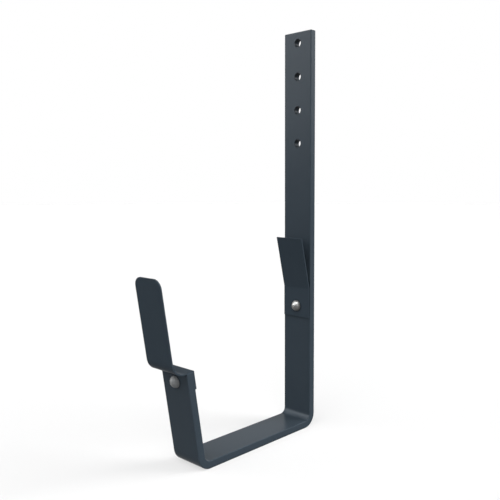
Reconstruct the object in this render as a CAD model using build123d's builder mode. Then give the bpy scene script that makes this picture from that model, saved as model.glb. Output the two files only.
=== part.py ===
from build123d import *

import os
from math import cos, radians, sin, tan

# Gutter bracket for a box gutter. A flat steel bar is bent into a shank, a seat and a front leg.
# Two clips of thin sheet are riveted to it: the front clip bends over the gutter's bead, and the
# rear clip bends over its back edge.
# X runs across the bar, +Y points at the wall, +Z is up. The wall face of the shank lies at Y = 0,
# and the origin is the middle of the row of fixing holes on that face.
# Sizes are in millimetres and degrees.

# Flat bar
bar_width = 30.0
bar_thickness = 6.0
bar_edge_radius = 0.6
bar_end_radius = 0.5
bar_bend_radius = 5.5

# Shank, seat and front leg
shank_height = 344.0
gutter_width = 120.0
leg_length = 77.8
leg_lean = 9.0

# Fixing holes in the shank
fixing_hole_count = 4
fixing_hole_pitch = 28.5
fixing_hole_diameter = 7.0
fixing_hole_end_distance = 9.3

# Sheet of both clips
sheet_thickness = 1.0

# Front clip, measured from the top end of the front leg
front_clip_width = 29.6
front_flap_length = 13.8
front_fold_radius = 0.3
bead_bend_radius = 10.0
blade_offset = 10.6
blade_height = 73.7
blade_corner_radius = 7.0

# Rear clip, measured from the top face of the seat
rear_clip_width = 28.6
rear_clip_foot_height = 91.0
rear_clip_flat_length = 26.0
rear_clip_tongue_length = 45.5
rear_clip_lean = 13.0
rear_clip_bend_radius = 2.0

# Rivets
rivet_diameter = 6.0
rivet_head_diameter = 9.4
rivet_head_height = 4.0
rivet_head_rim = 0.4
rivet_clearance = 0.05
front_rivet_end_distance = 8.5
front_rivet_set_diameter = 9.0
front_rivet_set_height = 1.2
rear_rivet_foot_distance = 9.5
rear_rivet_sink_diameter = 10.0
rear_rivet_sink_angle = 90.0

# Heights that follow from the row of fixing holes
hole_row_length = (fixing_hole_count - 1) * fixing_hole_pitch
shank_top = hole_row_length / 2 + fixing_hole_end_distance
seat_underside = shank_top - shank_height
seat_top = seat_underside + bar_thickness

# Side view of the front leg: x runs inward from its outer face, y runs up along the leg
leg_foot = -(gutter_width + 2 * bar_thickness)
lean = radians(leg_lean)
leg_side = Plane(origin=(0, leg_foot, seat_underside), x_dir=(0, cos(lean), sin(lean)), z_dir=(1, 0, 0))

# Middle of the bar's and the sheet's thickness
half_bar = bar_thickness / 2
half_sheet = sheet_thickness / 2

# Planes that the rivet heads seat on, with z along the rivet and out of its head
front_rivet_seat = Plane(
    origin=leg_side.from_local_coords((0, leg_length - front_rivet_end_distance)),
    x_dir=(1, 0, 0),
    z_dir=-leg_side.x_dir,
)
rear_rivet_height = seat_top + rear_clip_foot_height + rear_rivet_foot_distance
rear_rivet_seat = Plane(
    origin=(0, -bar_thickness - sheet_thickness, rear_rivet_height),
    x_dir=(1, 0, 0),
    z_dir=(0, -1, 0),
)

# Both rivets hold the bar and one sheet
rivet_radius = rivet_diameter / 2
rivet_grip = bar_thickness + sheet_thickness
rivet_hole_radius = rivet_radius + rivet_clearance
rear_rivet_sink_radius = rear_rivet_sink_diameter / 2
rear_rivet_sink_depth = (rear_rivet_sink_radius - rivet_radius) / tan(radians(rear_rivet_sink_angle / 2))


def strip_section(line, width, thickness, edge_radius=0.0):
    """Cross-section of a flat strip, square to the start of the line that the strip follows."""
    with BuildSketch(Plane(origin=line @ 0, x_dir=(1, 0, 0), z_dir=line % 0)) as section:
        if edge_radius > 0:
            RectangleRounded(width, thickness, edge_radius)
        else:
            Rectangle(width, thickness)
    return section.sketch


def rivet_section(seat, tail):
    """Half section of a domed rivet. tail holds the (radius, height) points past its shank."""
    head_radius = rivet_head_diameter / 2
    tail_end = tail[-1][1]
    with BuildSketch(Plane(origin=seat.origin, x_dir=seat.x_dir, z_dir=-seat.y_dir)) as section:
        with BuildLine():
            TangentArc((0, rivet_head_height), (head_radius, rivet_head_rim), tangent=(1, 0))
            Polyline(
                (head_radius, rivet_head_rim),
                (head_radius, 0),
                (rivet_radius, 0),
                *tail,
                (0, tail_end),
                (0, rivet_head_height),
            )
        make_face()
    return section.sketch


# Bar: one strip from the top of the shank, under the gutter and up the leaning leg
with BuildPart() as bar:
    # The seat's middle line meets the leg's middle line at this height along the leg
    corner_height = half_bar * (1 - sin(lean)) / cos(lean)
    leg_corner = leg_side.from_local_coords((half_bar, corner_height))
    leg_end = leg_side.from_local_coords((half_bar, leg_length))
    with BuildLine(Plane.YZ) as bar_line:
        FilletPolyline(
            (-half_bar, shank_top),
            (-half_bar, seat_underside + half_bar),
            (leg_corner.Y, leg_corner.Z),
            (leg_end.Y, leg_end.Z),
            radius=bar_bend_radius + half_bar,
        )
    sweep(strip_section(bar_line.line, bar_width, bar_thickness, bar_edge_radius), path=bar_line.line)

    # Both cut ends are dressed, so the clip folds over a rounded edge
    shank_end_face = bar.faces().sort_by(Axis.Z)[-1]
    leg_end_face = bar.faces().filter_by(Axis((0, 0, 0), leg_side.y_dir))[0]
    fillet(shank_end_face.edges() + leg_end_face.edges(), radius=bar_end_radius)

    with Locations(Plane(origin=(0, -bar_thickness, 0), x_dir=(1, 0, 0), z_dir=(0, -1, 0))):
        with GridLocations(0, fixing_hole_pitch, 1, fixing_hole_count):
            Hole(fixing_hole_diameter / 2, depth=bar_thickness)
    with Locations(front_rivet_seat):
        Hole(rivet_hole_radius, depth=bar_thickness)
    with Locations(Plane(origin=(0, 0, rear_rivet_height), x_dir=(-1, 0, 0), z_dir=(0, 1, 0))):
        CounterSinkHole(
            rivet_hole_radius,
            rear_rivet_sink_radius + rivet_clearance,
            depth=bar_thickness,
            counter_sink_angle=rear_rivet_sink_angle,
        )

# Front clip: a flap on the leg's inner face, a fold over its end, a round bend and a long blade
with BuildPart() as front_clip:
    flap_x = bar_thickness + half_sheet
    ledge_y = leg_length + half_sheet
    blade_x = -(blade_offset + half_sheet)
    with BuildLine(leg_side) as front_clip_line:
        FilletPolyline(
            (flap_x, leg_length - front_flap_length),
            (flap_x, ledge_y),
            (blade_x, ledge_y),
            (blade_x, leg_length + blade_height),
            radius=(front_fold_radius + half_sheet, bead_bend_radius + half_sheet),
        )
    sweep(
        strip_section(front_clip_line.line, front_clip_width, sheet_thickness),
        path=front_clip_line.line,
    )
    blade_corners = front_clip.edges().filter_by(Axis((0, 0, 0), leg_side.x_dir)).group_by(Axis.Z)[-1]
    fillet(blade_corners, radius=blade_corner_radius)
    with Locations(front_rivet_seat):
        Hole(rivet_hole_radius, depth=rivet_grip)

# Rear clip: flat on the shank below, and leaning forward above
with BuildPart() as rear_clip:
    clip_y = -(bar_thickness + half_sheet)
    clip_foot = seat_top + rear_clip_foot_height
    clip_bend = clip_foot + rear_clip_flat_length
    tongue_lean = radians(rear_clip_lean)
    with BuildLine(Plane.YZ) as rear_clip_line:
        FilletPolyline(
            (clip_y, clip_foot),
            (clip_y, clip_bend),
            (
                clip_y - rear_clip_tongue_length * sin(tongue_lean),
                clip_bend + rear_clip_tongue_length * cos(tongue_lean),
            ),
            radius=rear_clip_bend_radius + half_sheet,
        )
    sweep(
        strip_section(rear_clip_line.line, rear_clip_width, sheet_thickness),
        path=rear_clip_line.line,
    )
    with Locations(rear_rivet_seat):
        Hole(rivet_hole_radius, depth=sheet_thickness)

# Front rivet: its inner end is set to a low flat head, so the gutter passes it
with BuildPart() as front_rivet:
    set_radius = front_rivet_set_diameter / 2
    set_end = -rivet_grip - front_rivet_set_height
    front_tail = [(rivet_radius, -rivet_grip), (set_radius, -rivet_grip), (set_radius, set_end)]
    revolve(
        rivet_section(front_rivet_seat, front_tail),
        axis=Axis(front_rivet_seat.origin, front_rivet_seat.z_dir),
    )

# Rear rivet: its back end is set flush in a countersink, so the shank lies flat on the wall
with BuildPart() as rear_rivet:
    sink_start = rear_rivet_sink_depth - rivet_grip
    rear_tail = [(rivet_radius, sink_start), (rear_rivet_sink_radius, -rivet_grip)]
    revolve(
        rivet_section(rear_rivet_seat, rear_tail),
        axis=Axis(rear_rivet_seat.origin, rear_rivet_seat.z_dir),
    )

bar.part.label = "bar"
front_clip.part.label = "front_clip"
rear_clip.part.label = "rear_clip"
front_rivet.part.label = "front_rivet"
rear_rivet.part.label = "rear_rivet"

os.makedirs("parts", exist_ok=True)
export_step(bar.part, "parts/bar.step")
export_step(front_clip.part, "parts/front_clip.step")
export_step(rear_clip.part, "parts/rear_clip.step")
export_step(front_rivet.part, "parts/front_rivet.step")
export_step(rear_rivet.part, "parts/rear_rivet.step")
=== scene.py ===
from math import cos, radians, sin

import bpy
import bmesh
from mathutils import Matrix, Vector


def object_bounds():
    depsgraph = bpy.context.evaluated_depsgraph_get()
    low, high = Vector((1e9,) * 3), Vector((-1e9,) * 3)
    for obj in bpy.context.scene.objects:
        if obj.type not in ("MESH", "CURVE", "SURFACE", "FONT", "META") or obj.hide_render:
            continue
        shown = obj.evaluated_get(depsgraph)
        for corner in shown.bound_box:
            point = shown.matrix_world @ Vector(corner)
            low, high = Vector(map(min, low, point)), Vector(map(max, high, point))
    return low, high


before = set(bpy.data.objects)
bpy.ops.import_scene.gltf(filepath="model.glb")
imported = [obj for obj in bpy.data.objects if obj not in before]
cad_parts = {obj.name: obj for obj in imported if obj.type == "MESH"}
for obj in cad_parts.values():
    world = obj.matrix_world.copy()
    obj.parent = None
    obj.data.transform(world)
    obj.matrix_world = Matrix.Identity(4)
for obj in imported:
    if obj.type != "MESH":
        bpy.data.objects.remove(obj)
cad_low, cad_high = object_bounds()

# The gutter bracket stands on the underside of its seat, on a pale floor in soft light.
# Lengths are in metres and angles in degrees. An azimuth of 0 is on the -Y side, where the gutter
# lies, and 90 is on the +X side.

# Camera, fitted to the straight edges of the photograph
camera_place = (0.3694, -0.4332, 0.2113)
camera_azimuth = 42.39
camera_elevation = -4.69
camera_lens = 46.28
camera_shift = (-0.06, -0.02)
camera_near = 0.01
camera_far = 100.0

# Powder coats of the bar and of both clips. Colours are linear. A gain makes a colour darker or
# lighter, and a share is the most of that colour that the mix takes
bar_coat = {"colour": (0.0251, 0.0343, 0.0438), "gloss": 0.024, "peel": 0.14}
sheet_coat = {"colour": (0.0258, 0.0352, 0.0450), "gloss": 0.006, "peel": 0.10}
coat_roughness = (0.28, 0.31)

# Noises of the coat, each with its scale and its detail
cloud_noise = (9.0, 2.0)
mottle_noise = (70.0, 5.0)
dust_noise = (900.0, 2.0)
peel_noise = (620.0, 2.0)
grain_noise = (2600.0, 1.0)

# Tones of the coat
cloud_gains = (0.93, 1.07)
mottle_gain = 1.18
mottle_share = 0.3
dust_gain = 0.88
dust_share = 0.25

# Relief of the coat: orange peel, and a finer grain
peel_depth = 0.00004
grain_depth = 0.00001
grain_strength = 0.1

# Painted highlight along the bar's rounded edges, where the coat is made lighter
edge_highlight_gain = 1.5
edge_highlight_shares = (0.45, 1.0)

# Painted shade, a darker coat, in the corners where one piece seats on another. It starts where a
# face sees less than the first share below of its surroundings, and is full at the second
corner_shade_reach = 0.0022
corner_shade_start = 0.95
corner_shade_full = 0.5
corner_shade_gain = 0.35

# Painted shade on the walls of the fixing holes, whose coat is made darker.
# The row's middle is at Z = 0
hole_pitch = 0.0285
hole_row_reach = 0.052
hole_wall_radius = 0.0037
hole_wall_shade_gain = 0.45

# Rivet steel in two finishes of one rivet. The front rivet's dull finish is painted shade from the
# front clip's bend above it; the rear one is bright
shaded_front_rivet_steel = {"colour": (0.122, 0.126, 0.128), "metal": 0.15, "roughness": 0.6}
lit_rear_rivet_steel = {"colour": (0.110, 0.110, 0.109), "metal": 0.5, "roughness": 0.30}
rivet_gloss = 0.1
rivet_roughness_range = 0.1

# Mottle and tool marks of the rivet steel. The marks are stretched along one axis
steel_mottle_noise = (420.0, 4.0)
steel_mottle_gains = (0.82, 1.16)
mark_noise = (900.0, 3.0)
mark_stretch = (1.0, 1.0, 6.0)
mark_gain = 1.35
mark_share = 0.4
mark_strength = 0.25
mark_depth = 0.00003

# Floor and background
floor_radius = 8.0
floor_sides = 96
floor_gap = 0.0001
floor_colour = (0.25, 0.25, 0.25)
floor_glow = 0.585
background_colour = (1.0, 1.0, 1.0)
background_strength = 1.0

# Soft light. A lamp of strength 1 lights a white surface that faces it squarely to full white,
# which takes a sun lamp of this many watts per square metre
light_unit = 3.14159
dome_colour = (1.0, 1.0, 1.0)
dome_strength = 0.30
lamps = {
    "left": {"azimuth": -45, "elevation": 24, "strength": 0.45, "angle": 40},
    "right_back": {"azimuth": 135, "elevation": 24, "strength": 1.5, "angle": 40},
    "right_front": {"azimuth": 50, "elevation": 10, "strength": 0.52, "angle": 50},
    "top_front": {"azimuth": 22, "elevation": 62, "strength": 0.60, "angle": 40},
}

# Soft light that shows in gloss and bare steel only
sheens = {
    "left_sheen": {"azimuth": -45, "elevation": 22, "strength": 1.3, "angle": 36},
    "left_high_sheen": {"azimuth": -42, "elevation": 52, "strength": 2.9, "angle": 74},
    "high_sheen": {"azimuth": 30, "elevation": 62, "strength": 2.2, "angle": 50},
    "back_sheen": {"azimuth": -135, "elevation": 22, "strength": 0.06, "angle": 30},
}

# Part of a noise's range that is stretched out, and the places of a mix node's colour sockets
noise_low = 0.2
noise_high = 0.8
mix_colour_inputs = (6, 7)
mix_colour_output = 2


def add_node(tree, kind, inputs=None, **settings):
    """Adds a shader node. Each input is filled with a value or joined to another node's output."""
    made = tree.nodes.new(kind)
    for name, value in settings.items():
        setattr(made, name, value)
    for name, value in (inputs or {}).items():
        if isinstance(value, bpy.types.NodeSocket):
            tree.links.new(value, made.inputs[name])
        else:
            made.inputs[name].default_value = value
    return made


def new_material(name):
    """A material with an empty node tree and an output, ready for its shader."""
    material = bpy.data.materials.new(name)
    material.use_nodes = True
    tree = material.node_tree
    tree.nodes.clear()
    output = tree.nodes.new("ShaderNodeOutputMaterial")
    return material, tree, output


def opaque(colour):
    """The colour with its alpha."""
    return colour + (1.0,)


def scaled(colour, gain):
    """The colour made darker or lighter, with its alpha."""
    return opaque(tuple(channel * gain for channel in colour))


def noise(tree, place, scale, detail):
    """Even noise from 0 to 1 at the given scale."""
    inputs = {"Vector": place, "Scale": scale, "Detail": detail}
    return add_node(tree, "ShaderNodeTexNoise", inputs).outputs["Fac"]


def remap(tree, value, old, new):
    """Maps one range of a value, given by its two ends, onto another, and stops at those ends."""
    inputs = {
        "Value": value,
        "From Min": old[0],
        "From Max": old[1],
        "To Min": new[0],
        "To Max": new[1],
    }
    return add_node(tree, "ShaderNodeMapRange", inputs).outputs["Result"]


def spread(tree, value, low, high):
    """Stretches the middle of a noise over the range from low to high."""
    return remap(tree, value, (noise_low, noise_high), (low, high))


def blend(tree, factor, first, second):
    """A colour between two others. Each is a colour or another node's output."""
    first_input, second_input = mix_colour_inputs
    inputs = {"Factor": factor, first_input: first, second_input: second}
    mix = add_node(tree, "ShaderNodeMix", inputs, data_type="RGBA")
    return mix.outputs[mix_colour_output]


def maths(tree, operation, first, second=0.0, third=0.0):
    """The result of one step of arithmetic."""
    inputs = {0: first, 1: second, 2: third}
    return add_node(tree, "ShaderNodeMath", inputs, operation=operation).outputs[0]


def edge_highlight_mask(tree):
    """1 along the bar's rounded edges, for the painted highlight, and 0 on flat faces and bends.

    The share of the normal that points across the bar, squared, is half way between 0 and 1 in the
    middle of such an edge, where its product with the rest is a quarter.
    """
    normal = add_node(tree, "ShaderNodeTexCoord").outputs["Normal"]
    across = add_node(tree, "ShaderNodeSeparateXYZ", {"Vector": normal}).outputs["X"]
    squared = maths(tree, "MULTIPLY", across, across)
    rest = maths(tree, "SUBTRACT", 1.0, squared)
    return maths(tree, "MULTIPLY", maths(tree, "MULTIPLY", squared, rest), 4.0)


def hole_wall_shade_mask(tree, place):
    """1 on the walls of the fixing holes, where shade is painted, and 0 elsewhere."""
    parts = add_node(tree, "ShaderNodeSeparateXYZ", {"Vector": place})
    height = parts.outputs["Z"]
    along = maths(tree, "SUBTRACT", maths(tree, "WRAP", height, hole_pitch, 0.0), hole_pitch / 2)
    flat = add_node(tree, "ShaderNodeCombineXYZ", {"X": parts.outputs["X"], "Y": along})
    reach = add_node(tree, "ShaderNodeVectorMath", {0: flat.outputs[0]}, operation="LENGTH")
    inside = maths(tree, "LESS_THAN", reach.outputs["Value"], hole_wall_radius)
    in_row = maths(tree, "LESS_THAN", maths(tree, "ABSOLUTE", height), hole_row_reach)
    return maths(tree, "MULTIPLY", inside, in_row)


def corners(tree):
    """Up to 1 in the corners between pieces, where shade is painted, and 0 on open faces."""
    seen = add_node(tree, "ShaderNodeAmbientOcclusion", {"Distance": corner_shade_reach}).outputs["AO"]
    return remap(tree, seen, (corner_shade_start, corner_shade_full), (0.0, 1.0))


def bumps(tree, layers):
    """Fine relief, from (height, strength, distance) layers, the coarsest first."""
    normal = None
    for height, strength, distance in layers:
        inputs = {"Height": height, "Strength": strength, "Distance": distance}
        if normal is not None:
            inputs["Normal"] = normal
        normal = add_node(tree, "ShaderNodeBump", inputs).outputs["Normal"]
    return normal


def powder_coat(name, colour, gloss, peel):
    """Dark powder coat: a matt film with fine orange peel, mottle and dust.

    It has a painted highlight along the rounded edges, and painted shade in corners and hole walls.
    """
    material, tree, output = new_material(name)
    place = add_node(tree, "ShaderNodeTexCoord").outputs["Object"]
    cloud = noise(tree, place, *cloud_noise)
    mottle = noise(tree, place, *mottle_noise)
    dust = noise(tree, place, *dust_noise)
    dark, light = (scaled(colour, gain) for gain in cloud_gains)
    coat = blend(tree, spread(tree, cloud, 0.0, 1.0), dark, light)
    coat = blend(tree, spread(tree, mottle, 0.0, mottle_share), coat, scaled(colour, mottle_gain))
    coat = blend(tree, spread(tree, dust, 0.0, dust_share), coat, scaled(colour, dust_gain))
    # Painted highlight: the coat is lighter along the rounded edges
    painted_edge_highlight = maths(tree, "MULTIPLY", edge_highlight_mask(tree), spread(tree, mottle, *edge_highlight_shares))
    coat = blend(tree, painted_edge_highlight, coat, scaled(colour, edge_highlight_gain))
    # Painted shade: the coat is darker in the corners between pieces
    coat = blend(tree, corners(tree), coat, scaled(colour, corner_shade_gain))
    # Painted shade: the coat is darker on the walls of the fixing holes
    coat = blend(tree, hole_wall_shade_mask(tree, place), coat, scaled(colour, hole_wall_shade_gain))
    peel_layer = (noise(tree, place, *peel_noise), peel, peel_depth)
    grain_layer = (noise(tree, place, *grain_noise), grain_strength, grain_depth)
    inputs = {
        "Base Color": coat,
        "Roughness": spread(tree, mottle, *coat_roughness),
        "Specular IOR Level": gloss,
        "Normal": bumps(tree, [peel_layer, grain_layer]),
    }
    shader = add_node(tree, "ShaderNodeBsdfPrincipled", inputs)
    tree.links.new(shader.outputs["BSDF"], output.inputs["Surface"])
    return material


def rivet_steel(name, colour, metal, roughness):
    """Rivet steel with fine marks from the setting tool. Metal is the metallic share of the finish.
    """
    material, tree, output = new_material(name)
    place = add_node(tree, "ShaderNodeTexCoord").outputs["Object"]
    drawn = add_node(tree, "ShaderNodeMapping", {"Vector": place, "Scale": mark_stretch})
    mottle = noise(tree, place, *steel_mottle_noise)
    marks = noise(tree, drawn.outputs["Vector"], *mark_noise)
    dark, light = (scaled(colour, gain) for gain in steel_mottle_gains)
    steel = blend(tree, spread(tree, mottle, 0.0, 1.0), dark, light)
    steel = blend(tree, spread(tree, marks, 0.0, mark_share), steel, scaled(colour, mark_gain))
    inputs = {
        "Base Color": steel,
        "Roughness": spread(tree, mottle, roughness, roughness + rivet_roughness_range),
        "Metallic": metal,
        "Specular IOR Level": rivet_gloss,
        "Normal": bumps(tree, [(marks, mark_strength, mark_depth)]),
    }
    shader = add_node(tree, "ShaderNodeBsdfPrincipled", inputs)
    tree.links.new(shader.outputs["BSDF"], output.inputs["Surface"])
    return material


def paint(node, material):
    """Gives a piece of the frame its finished material."""
    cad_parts[node].material_slots[0].material = material


def background_rays(tree):
    """1 for the rays that see the pale background: the camera's, and those of gloss and glass."""
    path = add_node(tree, "ShaderNodeLightPath")
    seen = path.outputs["Is Camera Ray"]
    for ray in ("Is Glossy Ray", "Is Transmission Ray"):
        seen = maths(tree, "MAXIMUM", seen, path.outputs[ray])
    return seen


def make_floor(height):
    """One round pale floor under the bracket, which glows a little and keeps its shadow."""
    mesh = bpy.data.meshes.new("floor")
    shape = bmesh.new()
    bmesh.ops.create_circle(shape, cap_ends=True, segments=floor_sides, radius=floor_radius)
    shape.to_mesh(mesh)
    shape.free()
    floor = bpy.data.objects.new("floor", mesh)
    floor.location = (0, 0, height)
    bpy.context.scene.collection.objects.link(floor)
    material, tree, output = new_material("floor")
    diffuse = add_node(tree, "ShaderNodeBsdfDiffuse", {"Color": opaque(floor_colour)})
    glow = maths(tree, "MULTIPLY", background_rays(tree), floor_glow)
    light = add_node(tree, "ShaderNodeEmission", {"Strength": glow})
    both = add_node(tree, "ShaderNodeAddShader", {0: diffuse.outputs[0], 1: light.outputs[0]})
    tree.links.new(both.outputs[0], output.inputs["Surface"])
    mesh.materials.append(material)


def make_world():
    """A plain dome. What the camera, gloss and glass see of it is the pale background."""
    world = bpy.data.worlds.new("studio")
    bpy.context.scene.world = world
    world.use_nodes = True
    tree = world.node_tree
    tree.nodes.clear()
    output = tree.nodes.new("ShaderNodeOutputWorld")
    dome_look = {"Color": opaque(dome_colour), "Strength": dome_strength}
    dome = add_node(tree, "ShaderNodeBackground", dome_look)
    background_look = {"Color": opaque(background_colour), "Strength": background_strength}
    background = add_node(tree, "ShaderNodeBackground", background_look)
    inputs = {0: background_rays(tree), 1: dome.outputs[0], 2: background.outputs[0]}
    mix = add_node(tree, "ShaderNodeMixShader", inputs)
    tree.links.new(mix.outputs[0], output.inputs["Surface"])


def make_lamp(name, azimuth, elevation, strength, angle):
    """A wide soft lamp, far away in the given direction. The angle is the lamp's own width."""
    data = bpy.data.lights.new(name, "SUN")
    data.energy = strength * light_unit
    data.angle = radians(angle)
    lamp = bpy.data.objects.new(name, data)
    around, above = radians(azimuth), radians(elevation)
    towards = Vector((sin(around) * cos(above), -cos(around) * cos(above), sin(above)))
    lamp.rotation_mode = "QUATERNION"
    lamp.rotation_quaternion = towards.to_track_quat("Z", "Y")
    bpy.context.scene.collection.objects.link(lamp)
    return lamp


def make_camera(floor_height):
    """The photograph's view, from the front and the right, a little above the middle."""
    data = bpy.data.cameras.new("camera")
    data.lens = camera_lens
    data.shift_x, data.shift_y = camera_shift
    data.clip_start = camera_near
    data.clip_end = camera_far
    camera = bpy.data.objects.new("camera", data)
    camera.location = Vector(camera_place) + Vector((0, 0, floor_height))
    camera.rotation_euler = (radians(90 + camera_elevation), 0, radians(camera_azimuth))
    bpy.context.scene.collection.objects.link(camera)
    bpy.context.scene.camera = camera


paint("bar", powder_coat("bar_coat", **bar_coat))
sheet = powder_coat("sheet_coat", **sheet_coat)
for node in ("front_clip", "rear_clip"):
    paint(node, sheet)
# The front rivet gets a dull copy of the steel as painted shade, and the rear rivet a bright one
paint("front_rivet", rivet_steel("shaded_front_rivet_steel", **shaded_front_rivet_steel))
paint("rear_rivet", rivet_steel("lit_rear_rivet_steel", **lit_rear_rivet_steel))

floor_height = cad_low.z - floor_gap
make_floor(floor_height)
make_world()
for name, settings in lamps.items():
    make_lamp(name, **settings)
for name, settings in sheens.items():
    make_lamp(name, **settings).visible_diffuse = False
make_camera(floor_height)
bpy.context.scene.view_settings.view_transform = "Standard"
